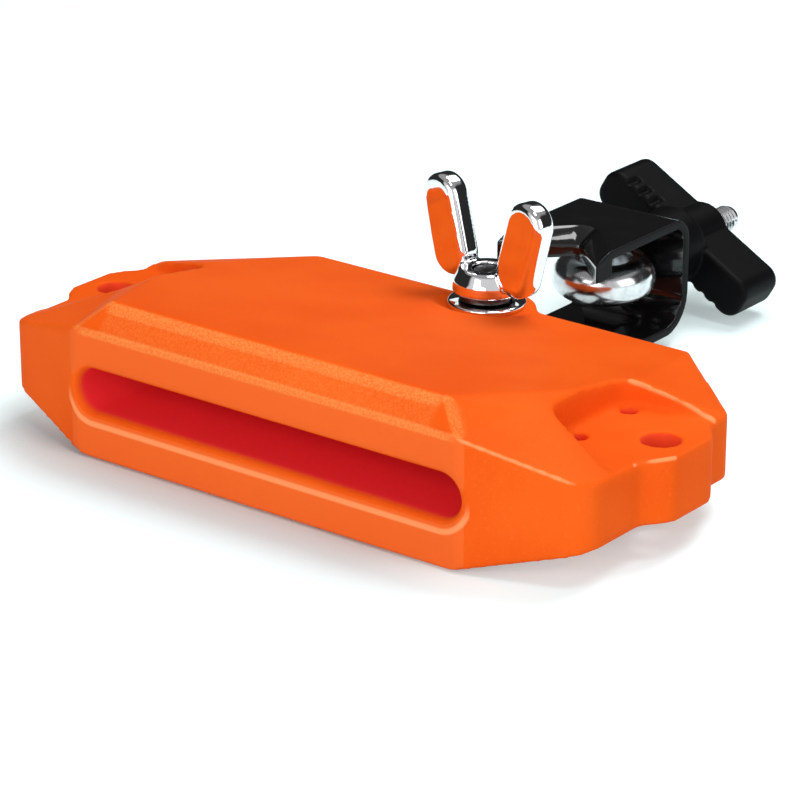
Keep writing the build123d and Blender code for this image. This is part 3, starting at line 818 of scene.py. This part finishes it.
for side in SIDES:
    ends = sorted((side * EAR_ROOT, side * EAR_HALF))
    ear = start_box(
        "ear",
        (ends[0], FRONT_Y + EAR_START, BAND_BOTTOM + HAIR),
        (ends[1], FRONT_Y + EAR_END, BAND_TOP + 1 * MM),
    )
    choose_edges(ear, lambda first, second: abs(first.y - second.y) > 1 * MM)
    bpy.ops.mesh.subdivide(number_cuts=EAR_STEPS)
    leave()
    for point in ear.data.vertices:
        if abs(point.co.x) > EAR_ROOT + 1 * MM:
            depth = point.co.y - FRONT_Y
            share = (depth - FRONT_CORNER_DEPTH) / (REAR_CORNER_DEPTH - FRONT_CORNER_DEPTH)
            wall_half = END_HALF + (REAR_HALF - END_HALF) * share - EAR_SUNK
            point.co.x = side * (wall_half + (EAR_HALF - wall_half) * swell(depth))
    combine(block, ear, "UNION")
    ends = sorted((side * POCKET_HALF, side * POCKET_OUTER))
    pocket = start_box(
        "pocket",
        (ends[0], FRONT_Y + POCKET_FRONT, BAND_TOP - HAIR),
        (ends[1], FRONT_Y + POCKET_REAR, 2 * BLOCK_TOP),
    )
    for wall_depth, flare in ((POCKET_REAR, POCKET_FLARE), (POCKET_FRONT, -POCKET_FRONT_FLARE)):
        choose_edges(pocket, lambda first, second: all(
            abs(point.x) > POCKET_HALF + 1 * MM and abs(point.y - FRONT_Y - wall_depth) < HAIR
            for point in (first, second)
        ))
        bpy.ops.transform.translate(value=(0, flare, 0))
        leave()
    round_edges(
        pocket,
        lambda first, second: max(abs(first.x), abs(second.x)) < POCKET_HALF + HAIR
        and abs(first.z - second.z) > 1 * MM,
        POCKET_BEVEL, 6,
    )
    combine(block, pocket, "DIFFERENCE")
print("ears and pockets:", len(block.data.polygons), "faces")

# %% [markdown]
# ## Block: lug, slot and holes
# Behind, a round lug carries the clamp's stud on a level seat, and under it a round recess lets the
# bracket swing. The slot is a stadium: a bar whose long edges are bevelled until its ends are round,
# with its mouth extruded in steps that widen, so that the block's lip rolls into the slot.

# %% Build the lug and its recess
LUG_RADIUS = 12.9 * MM
LUG_BLEND = 5.0 * MM
SEAT_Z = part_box("flat_washer")[0].z
BACK_Y = FRONT_Y + BLOCK_DEPTH
washer_low, washer_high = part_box("flat_washer")
STUD_Y = (washer_low.y + washer_high.y) / 2
STUD_HOLE_RADIUS = 4.1 * MM
RECESS_RADIUS = 26.5 * MM
RECESS_TOP = 6.3 * MM

blend_y = BACK_Y + LUG_BLEND
blend_x = sqrt((LUG_RADIUS + LUG_BLEND) ** 2 - (blend_y - STUD_Y) ** 2)
touch_y = STUD_Y + (blend_y - STUD_Y) * LUG_RADIUS / (LUG_RADIUS + LUG_BLEND)
root_half = blend_x - 2 * HAIR
root = start_box(
    "root",
    (-root_half, BACK_Y - 3 * MM, BAND_BOTTOM + HAIR),
    (root_half, touch_y, BAND_TOP - HAIR),
)
for side in SIDES:
    middle = Vector((side * blend_x, blend_y, 0))
    scoop = start_round("scoop", middle, middle + Vector((0, 0, BLOCK_TOP)), LUG_BLEND, 48)
    combine(root, scoop, "DIFFERENCE")
combine(block, root, "UNION")
stud = Vector((0, STUD_Y, 0))


def on_stud(name, low, high, radius, sides=96):
    """A cylinder round the stud's axis between two heights."""
    return start_round(name, stud + Vector((0, 0, low)), stud + Vector((0, 0, high)), radius, sides)


combine(block, on_stud("lug", BAND_BOTTOM + 2 * HAIR, SEAT_Z + 1 * MM, LUG_RADIUS), "UNION")
combine(block, on_stud("seat", SEAT_Z, 2 * BLOCK_TOP, LUG_RADIUS + 3 * HAIR), "DIFFERENCE")
combine(block, on_stud("recess", -BLOCK_TOP, RECESS_TOP, RECESS_RADIUS, 128), "DIFFERENCE")
print("lug seat at", round(SEAT_Z / MM, 2), "mm")

# %% Cut the slot and the holes
ROUND_STEPS = 24
ROLL_STEPS = 8
slot = start_box(
    "slot",
    (-SLOT_LENGTH / 2, FRONT_Y + LIP_ROLL, SLOT_CENTRE_Z - SLOT_HEIGHT / 2),
    (SLOT_LENGTH / 2, FRONT_Y + SLOT_DEPTH, SLOT_CENTRE_Z + SLOT_HEIGHT / 2),
)
round_edges(
    slot,
    lambda first, second: abs(first.y - second.y) > 1 * MM,
    SLOT_HEIGHT / 2 - TINY, ROUND_STEPS,
)
choose_faces(slot, lambda middle, normal: normal.y < -0.9)
for step in range(ROLL_STEPS + 1):
    bpy.ops.mesh.extrude_region_move(TRANSFORM_OT_translate={"value": (0, -LIP_ROLL / ROLL_STEPS, 0)})
leave()
end_centre = (SLOT_LENGTH - SLOT_HEIGHT) / 2
for point in slot.data.vertices:
    inwards = max((point.co.y - FRONT_Y) / LIP_ROLL, 0.0)
    if inwards < 1:
        centre = Vector((end_centre if point.co.x > 0 else -end_centre, point.co.y, SLOT_CENTRE_Z))
        growth = LIP_ROLL * (1 - sqrt(1 - (1 - inwards) ** 2))
        point.co += (point.co - centre).normalized() * growth
combine(block, slot, "DIFFERENCE")

for side in SIDES:
    for half, depth, radius in [EAR_HOLE] + SCREW_HOLES:
        ends = [corner(half, depth, height, side) for height in (-BLOCK_TOP, BLOCK_TOP)]
        drill = start_round("drill", *ends, radius, 48)
        combine(block, drill, "DIFFERENCE")
combine(block, on_stud("drill", -BLOCK_TOP, BLOCK_TOP, STUD_HOLE_RADIUS, 48), "DIFFERENCE")
tidy_faces(block)
print("block before softening:", len(block.data.polygons), "faces")

# %% Soften the moulding
cast(block, voxel=0.9 * MM, rounds=3)
finish_piece(block, "block", "orange_plastic", orange_plastic, "block_body")

# %% [markdown]
# ## Turned pieces and threads
# Washers, the bolt's head and the eye are turned: a closed outline of radius and height is spun round
# an axis. A thread is one tooth's outline driven by a Screw modifier along a core, with both ends
# worn down so that they run out into the core.

# %% Helpers for turned pieces and threads
def rounded(corners, steps=6):
    """An outline in which each corner (first, second, rounding) is replaced by an arc."""
    points = []
    for index, (first, second, rounding) in enumerate(corners):
        here = Vector((first, second))
        before = (Vector(corners[index - 1][:2]) - here).normalized()
        after = (Vector(corners[(index + 1) % len(corners)][:2]) - here).normalized()
        half = before.angle(after) / 2
        centre = here + (before + after).normalized() * rounding / sin(half)
        touch = rounding / tan(half)
        for step in range(steps + 1 if rounding else 1):
            spot = (here + before * touch).lerp(here + after * touch, step / steps)
            points.append(centre + (spot - centre).normalized() * rounding if rounding else here)
    return points


def draw(name, points):
    """An object that holds one closed outline."""
    count = len(points)
    mesh = bpy.data.meshes.new(name)
    mesh.from_pydata(points, [(index, (index + 1) % count) for index in range(count)], [])
    piece = bpy.data.objects.new(name, mesh)
    bpy.context.collection.objects.link(piece)
    return piece


def stand(piece, foot, axis):
    """Moves a piece made round the upright axis onto another axis."""
    piece.location = foot
    piece.rotation_mode = "QUATERNION"
    piece.rotation_quaternion = Vector((0, 0, 1)).rotation_difference(Vector(axis))
    return settle(piece)


def close_up(piece):
    edit(piece, "VERT")
    bpy.ops.mesh.select_all(action="SELECT")
    bpy.ops.mesh.remove_doubles(threshold=TINY)
    bpy.ops.mesh.normals_make_consistent(inside=False)
    leave()
    bpy.ops.object.shade_smooth_by_angle(angle=radians(35))


def lathe(name, corners, foot, axis, turn=2 * pi, sides=96):
    piece = draw(name, [(point.x, 0, point.y) for point in rounded(corners)])
    edit(piece, "VERT")
    bpy.ops.mesh.select_all(action="SELECT")
    bpy.ops.mesh.spin(steps=sides, angle=turn, center=(0, 0, 0), axis=(0, 0, 1))
    leave()
    close_up(piece)
    return stand(piece, foot, axis)


def join(piece, *others):
    pick(piece)
    for other in others:
        other.select_set(True)
    bpy.ops.object.join()
    return piece


PITCH = 1.411 * MM
TOOTH = 0.5 * MM
RUN_OUT = 1.2 * MM
ROD_CHAMFER = 0.4 * MM


def washer_outline(bore, reach, thick, bore_rim, foot_rim, top_rim):
    """The section of a washer, with the roundings of its bore and of its lower and upper rim."""
    foot = [(bore, 0, bore_rim), (reach, 0, foot_rim)]
    return foot + [(reach, thick, top_rim), (bore, thick, bore_rim)]


def threaded_rod(name, foot, axis, length, radius):
    """A rod with a chamfered end and a real helical thread along it."""
    root = radius - TOOTH
    outline = [(0, 0, 0), (root, 0, 0), (root, length, ROD_CHAMFER), (0, length, 0)]
    core = lathe(name, outline, (0, 0, 0), (0, 0, 1))
    mesh = bpy.data.meshes.new("tooth")
    base = root - HAIR
    tooth = [(base, 0.0), (radius, 0.38), (radius, 0.52), (base, 0.9), (base, 1.0)]
    points = [(out, 0, share * PITCH) for out, share in tooth]
    mesh.from_pydata(points, [(index, index + 1) for index in range(len(tooth) - 1)], [])
    thread = bpy.data.objects.new("thread", mesh)
    bpy.context.collection.objects.link(thread)
    pick(thread)
    screw = thread.modifiers.new("screw", "SCREW")
    screw.screw_offset = PITCH
    screw.iterations = int(length / PITCH) - 1
    screw.steps = screw.render_steps = 32
    screw.use_normal_calculate = True
    bpy.ops.object.modifier_apply(modifier=screw.name)
    for point in thread.data.vertices:
        worn = min(point.co.z, length - point.co.z) / RUN_OUT
        out = point.co.to_2d().length
        point.co.xy *= min(out, base + TOOTH * max(0.0, worn)) / out
    edit(thread, "VERT")
    bpy.ops.mesh.select_all(action="SELECT")
    bpy.ops.mesh.remove_doubles(threshold=TINY)
    leave()
    outwards = sum(face.normal.to_2d().dot(face.center.to_2d()) for face in thread.data.polygons)
    if outwards < 0:
        thread.data.flip_normals()
    bpy.ops.object.shade_smooth_by_angle(angle=radians(30))
    return stand(join(core, thread), foot, axis)


# %% [markdown]
# ## Stack on the stud
# The clamp hangs from a carriage bolt that comes up through the lug. On it sit a plated flat washer,
# a split lock washer and the wing nut. The lock washer is spun a little short of a full turn and
# rises along it, as a spring washer does. The stud ends just inside the hub of the nut.

# %% Washers and mounting bolt
lock_low, lock_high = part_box("lock_washer")
bolt_low, bolt_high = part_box("mounting_bolt")
WASHER_BORE = 4.3 * MM
TONGUE_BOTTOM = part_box("bracket")[0].z
TONGUE_TOP = TONGUE_BOTTOM + 2.5 * MM
STUD_RADIUS = 4.0 * MM - HAIR / 5
HEAD_RIM = 1.8 * MM

thick = washer_high.z - washer_low.z
reach = (washer_high.x - washer_low.x) / 2
flat_washer = lathe(
    "washer_flat",
    washer_outline(WASHER_BORE, reach, thick, 0.2 * MM, 0.4 * MM, 0.6 * MM),
    stud + Vector((0, 0, SEAT_Z)), (0, 0, 1),
)
finish_piece(flat_washer, "block", "chrome", chrome, "flat_washer")

SPLIT_TURN = radians(348)
SPLIT_RISE = 0.5 * MM
thick = lock_high.z - lock_low.z - SPLIT_RISE
reach = (lock_high.x - lock_low.x) / 2
lock_washer = lathe(
    "washer_lock",
    washer_outline(WASHER_BORE, reach, thick, 0.2 * MM, 0.3 * MM, 0.3 * MM),
    (0, 0, 0), (0, 0, 1), SPLIT_TURN,
)
edit(lock_washer, "EDGE")
bpy.ops.mesh.select_non_manifold()
bpy.ops.mesh.edge_face_add()
bpy.ops.mesh.select_all(action="SELECT")
bpy.ops.mesh.normals_make_consistent(inside=False)
leave()
for point in lock_washer.data.vertices:
    turn = atan2(point.co.y, point.co.x) % (2 * pi)
    point.co.z += SPLIT_RISE * min(turn, SPLIT_TURN) / SPLIT_TURN
lock_washer.rotation_euler = (0, 0, -pi / 2 + (2 * pi - SPLIT_TURN) / 2)
settle(lock_washer)
lock_washer.location = stud + Vector((0, 0, lock_low.z))
settle(lock_washer)
finish_piece(lock_washer, "lock_washer", "dark_steel", dark_steel, "lock_washer")

head_radius = (bolt_high.x - bolt_low.x) / 2
head = lathe(
    "bolt",
    [
        (0, bolt_low.z, 0),
        (head_radius, bolt_low.z, HEAD_RIM),
        (head_radius, TONGUE_BOTTOM, 0),
        (0, TONGUE_BOTTOM, 0),
    ],
    stud, (0, 0, 1),
)
neck = start_box(
    "neck",
    stud + Vector((-STUD_RADIUS, -STUD_RADIUS, TONGUE_BOTTOM - HAIR)),
    stud + Vector((STUD_RADIUS, STUD_RADIUS, TONGUE_TOP)),
)
NUT_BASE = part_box("wing_nut")[0].z
HUB_HEIGHT = 6.4 * MM
STUD_SUNK = 0.6 * MM
stud_foot = TONGUE_TOP - HAIR
stud_length = NUT_BASE + HUB_HEIGHT - STUD_SUNK - stud_foot
rod = threaded_rod("rod", stud + Vector((0, 0, stud_foot)), (0, 0, 1), stud_length, STUD_RADIUS)
finish_piece(join(head, neck, rod), "bracket", "dark_steel", dark_steel, "mounting_bolt")

# %% [markdown]
# ## Wing nut
# A plated casting: a coned hub between two thick leaning tablets. Each tablet is a box whose ends are
# bevelled round and whose rims are softened, and it is leaned and turned into place. The joined nut
# is cast as one skin so that the wings flow into the hub.

# %% Wing nut
FLANGE_RADIUS = 9.0 * MM
HUB_TOP_RADIUS = 7.2 * MM
FLANGE_HEIGHT = 3.0 * MM
WING_TURN = radians(-12)
WING_LEAN = radians(16)
WING_REACH = 14.2 * MM
WING_CENTRE = 14.6 * MM
WING_SIZE = Vector((12.5, 6.6, 27.0)) * MM
WING_RIM = 2.0 * MM
NUT_BORE = 4.05 * MM

nut = lathe(
    "nut",
    [(0, 0, 0), (FLANGE_RADIUS, 0, 0.6 * MM), (FLANGE_RADIUS, FLANGE_HEIGHT, 1 * MM),
     (HUB_TOP_RADIUS, HUB_HEIGHT, 1 * MM), (0, HUB_HEIGHT, 0)],
    stud + Vector((0, 0, NUT_BASE)), (0, 0, 1),
)
for side in SIDES:
    tablet = start_box("tablet", -WING_SIZE / 2, WING_SIZE / 2)
    round_edges(
        tablet,
        lambda first, second: abs(first.y - second.y) > 1 * MM,
        WING_SIZE.x / 2 - TINY, 20,
    )
    tidy_faces(tablet)
    soften(tablet, WING_RIM, 6, radians(60))
    tablet.matrix_world = (
        Matrix.Translation(stud + Vector((0, 0, NUT_BASE)))
        @ Matrix.Rotation(WING_TURN, 4, "Z")
        @ Matrix.Translation((side * WING_REACH, 0, WING_CENTRE))
        @ Matrix.Rotation(side * WING_LEAN, 4, "Y")
    )
    settle(tablet)
    combine(nut, tablet, "UNION")
combine(nut, on_stud("drill", 0, 2 * BLOCK_TOP, NUT_BORE, 64), "DIFFERENCE")
cast(nut, voxel=0.32 * MM, rounds=6)
finish_piece(nut, "wing_nut", "chrome", chrome, "wing_nut")

# %% [markdown]
# ## Bracket
# A strip of steel is drawn from the side with its two bends, then extruded to its width. The tongue's
# end is rounded, thick lips are added under the upper plate, and one vee with a rounded tip is cut
# through plate and lips together, so that the lips follow it. The vee's upper edge is rolled over.
# The lower plate has a window with the same vee for the rod.

# %% Bend and cut the bracket
bracket_low, bracket_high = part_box("bracket")
STRIP = 2.5 * MM
STRIP_HALF = bracket_high.x
TONGUE_START = bracket_low.y
WEB_Y = bracket_high.y
STRIP_TOP = bracket_high.z
TOP_PLATE = 45.0 * MM
LOW_BEND = 8.0 * MM
HIGH_BEND = 4.0 * MM
VEE_Y = WEB_Y - 28.0 * MM
LIP = 5.0 * MM
LIP_THICK = 5.2 * MM
ROLL = 4.8 * MM
ROLL_PROFILE = 0.33
VEE_TIP = 1.5 * MM
WINDOW_HALF = 11.5 * MM
WINDOW_LENGTH = 23.0 * MM
CLAMP_Z = 19.9 * MM
NECK_HOLE_HALF = 4.05 * MM
SHANK_BORE = 3.95 * MM
FAR = 60 * MM

side_view = rounded([
    (TONGUE_START, TONGUE_BOTTOM, 0),
    (WEB_Y, TONGUE_BOTTOM, LOW_BEND + STRIP),
    (WEB_Y, STRIP_TOP, HIGH_BEND + STRIP),
    (WEB_Y - TOP_PLATE, STRIP_TOP, 0),
    (WEB_Y - TOP_PLATE, STRIP_TOP - STRIP, 0),
    (WEB_Y - STRIP, STRIP_TOP - STRIP, HIGH_BEND),
    (WEB_Y - STRIP, TONGUE_TOP, LOW_BEND),
    (TONGUE_START, TONGUE_TOP, 0),
], 12)
bracket = draw("clamp_bracket", [(-STRIP_HALF, point.x, point.y) for point in side_view])
edit(bracket, "EDGE")
bpy.ops.mesh.select_all(action="SELECT")
bpy.ops.mesh.edge_face_add()
bpy.ops.mesh.extrude_region_move(TRANSFORM_OT_translate={"value": (2 * STRIP_HALF, 0, 0)})
leave()
close_up(bracket)
round_edges(
    bracket,
    lambda first, second: max(first.y, second.y) < TONGUE_START + HAIR
    and abs(first.z - second.z) > 1 * MM,
    STRIP_HALF - 1 * MM, 24,
)
for side in SIDES:
    lip = start_box(
        "lip",
        (-FAR / 2, -2 * MM, STRIP_TOP - STRIP - LIP),
        (FAR / 2, LIP_THICK, STRIP_TOP - 1 * MM),
    )
    lip.matrix_world = Matrix.Translation((0, VEE_Y, 0)) @ Matrix.Rotation(-side * pi / 4, 4, "Z")
    settle(lip)
    slice_off(lip, (-side * 1 * MM, 0, 0), (-side, 0, 0))
    slice_off(lip, (side * (STRIP_HALF - HAIR), 0, 0), (side, 0, 0))
    combine(bracket, lip, "UNION")
vee = start_box("vee", (-FAR, -FAR, STRIP_TOP - 4 * LIP), (0, 0, STRIP_TOP + LIP))
round_edges(
    vee,
    lambda first, second: min(first.x, first.y, second.x, second.y) > -HAIR,
    VEE_TIP, 10,
)
vee.matrix_world = Matrix.Translation((0, VEE_Y, 0)) @ Matrix.Rotation(pi / 4, 4, "Z")
combine(bracket, settle(vee), "DIFFERENCE")


def on_vee(point):
    """Whether a point lies on the upper edge of the vee."""
    short = VEE_Y - abs(point.x) - point.y
    return -HAIR < short < VEE_TIP / 2 and abs(point.z - STRIP_TOP) < HAIR


round_edges(bracket, lambda first, second: on_vee(first) and on_vee(second), ROLL, 9, ROLL_PROFILE)
window = start_box(
    "window",
    (-WINDOW_HALF, VEE_Y - WINDOW_LENGTH, TONGUE_BOTTOM - 1 * MM),
    (WINDOW_HALF, VEE_Y, TONGUE_TOP + 1 * MM),
)
for side in SIDES:
    slice_off(window, (0, VEE_Y, 0), (side, 1, 0))
combine(bracket, window, "DIFFERENCE")
neck_half = Vector((NECK_HOLE_HALF, NECK_HOLE_HALF, 0))
neck_hole = start_box(
    "neck_hole",
    stud - neck_half + Vector((0, 0, TONGUE_BOTTOM - 1 * MM)),
    stud + neck_half + Vector((0, 0, TONGUE_TOP + 1 * MM)),
)
combine(bracket, neck_hole, "DIFFERENCE")
ends = [(0, WEB_Y + reach, CLAMP_Z) for reach in (-4 * MM, 4 * MM)]
web_hole = start_round("web_hole", *ends, SHANK_BORE)
combine(bracket, web_hole, "DIFFERENCE")
cast(bracket, voxel=0.4 * MM, rounds=3)
finish_piece(bracket, "bracket", "black_paint", black_paint, "bracket")

# %% [markdown]
# ## Eye bolt, washer and handle
# The eye is a heavy turned ring on a threaded shank. The T-handle is a bar with rounded ends, finger
# grooves on the two edges that are pressed, and a hub and boss that hold a brass insert.

# %% Eye bolt and its washer
eye_low, eye_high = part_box("eye_bolt")
EYE_RADIUS = eye_high.x
EYE_BORE = 7.0 * MM
EYE_HALF = 5.5 * MM
EYE_EDGE = 5.0 * MM
EYE_BORE_EDGE = 1.2 * MM
EYE_Y = eye_low.y + EYE_RADIUS
SHANK_RADIUS = 3.85 * MM - HAIR / 5
SHANK_START = EYE_Y + 9 * MM

ring = lathe(
    "eye",
    [
        (EYE_BORE, -EYE_HALF, EYE_BORE_EDGE),
        (EYE_RADIUS, -EYE_HALF, EYE_EDGE),
        (EYE_RADIUS, EYE_HALF, EYE_EDGE),
        (EYE_BORE, EYE_HALF, EYE_BORE_EDGE),
    ],
    (0, EYE_Y, CLAMP_Z), (0, 0, 1), sides=128,
)
shank_length = eye_high.y - SHANK_START
shank = threaded_rod("shank", (0, SHANK_START, CLAMP_Z), (0, 1, 0), shank_length, SHANK_RADIUS)
finish_piece(join(ring, shank), "eye_bolt", "zinc_steel", zinc_steel, "eye_bolt")

thin_low, thin_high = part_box("handle_washer")
thick = thin_high.y - thin_low.y
reach = thin_high.x
thin_washer = lathe(
    "washer_handle",
    washer_outline(SHANK_BORE, reach, thick, 0.1 * MM, 0.3 * MM, 0.3 * MM),
    (0, thin_low.y, CLAMP_Z), (0, 1, 0),
)
finish_piece(thin_washer, "bracket", "zinc_steel", zinc_steel, "handle_washer")

# %% T-handle
handle_low, handle_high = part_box("clamp_handle")
BAR = Vector((54.0, 17.0, 12.0)) * MM
BAR_TILT = radians(30)
BAR_END = 4.5 * MM
BAR_RIM = 1.3 * MM
BOSS_RADIUS = 8.0 * MM
HUB_RADIUS = 10.5 * MM
INSERT_LENGTH = 20.0 * MM
GROOVE_RADIUS = 1.1 * MM
GROOVE_LENGTH = 5.0 * MM
GROOVE_PLACES = (11.2 * MM, 15.4 * MM, 19.6 * MM)
SOCKET_RADIUS = 6.6 * MM

handle = start_box("handle", -BAR / 2, BAR / 2)
round_edges(handle, lambda first, second: abs(first.y - second.y) > 1 * MM, BAR_END, 12)
soften(handle, BAR_RIM, 4, radians(60))
for side in SIDES:
    for groove_place in GROOVE_PLACES:
        spot = Vector((-side * groove_place, -BAR.y / 2, side * BAR.z / 2))
        ends = [spot + Vector((0, reach, 0)) for reach in (-1 * MM, GROOVE_LENGTH)]
        groove = start_round("groove", *ends, GROOVE_RADIUS, 32)
        combine(handle, groove, "DIFFERENCE")
handle.matrix_world = (
    Matrix.Translation((0, handle_high.y - BAR.y / 2, CLAMP_Z)) @ Matrix.Rotation(BAR_TILT, 4, "Y")
)
settle(handle)


def on_clamp(name, start, end, radius):
    """A cylinder round the clamp screw's axis."""
    return start_round(name, (0, start, CLAMP_Z), (0, end, CLAMP_Z), radius, 96)


combine(handle, on_clamp("boss", handle_low.y + 2 * MM, handle_high.y - HAIR, BOSS_RADIUS), "UNION")
combine(handle, on_clamp("hub", handle_low.y, handle_high.y - BAR.y + 2 * MM, HUB_RADIUS), "UNION")
socket = on_clamp("socket", handle_low.y - 1 * MM, handle_low.y + INSERT_LENGTH, SOCKET_RADIUS)
combine(handle, socket, "DIFFERENCE")
drill = on_clamp("drill", handle_low.y, handle_high.y + 1 * MM, SHANK_BORE)
combine(handle, drill, "DIFFERENCE")
cast(handle, voxel=0.4 * MM, rounds=4)
finish_piece(handle, "handle", "black_plastic", black_plastic, "clamp_handle")

# %% [markdown]
# ## Carried-over pieces
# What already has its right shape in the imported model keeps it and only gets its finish.

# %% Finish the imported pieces
NODE_FINISH = {"handle_insert": insert_brass}
for node, material in NODE_FINISH.items():
    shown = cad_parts[node]
    shown.data.materials.clear()
    shown.data.materials.append(material)

# %% Write the sizes and finish
low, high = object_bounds()
for name, extent in (("cad", cad_high - cad_low), ("visual", high - low)):
    print(name, "box", [round(length / MM, 1) for length in extent])
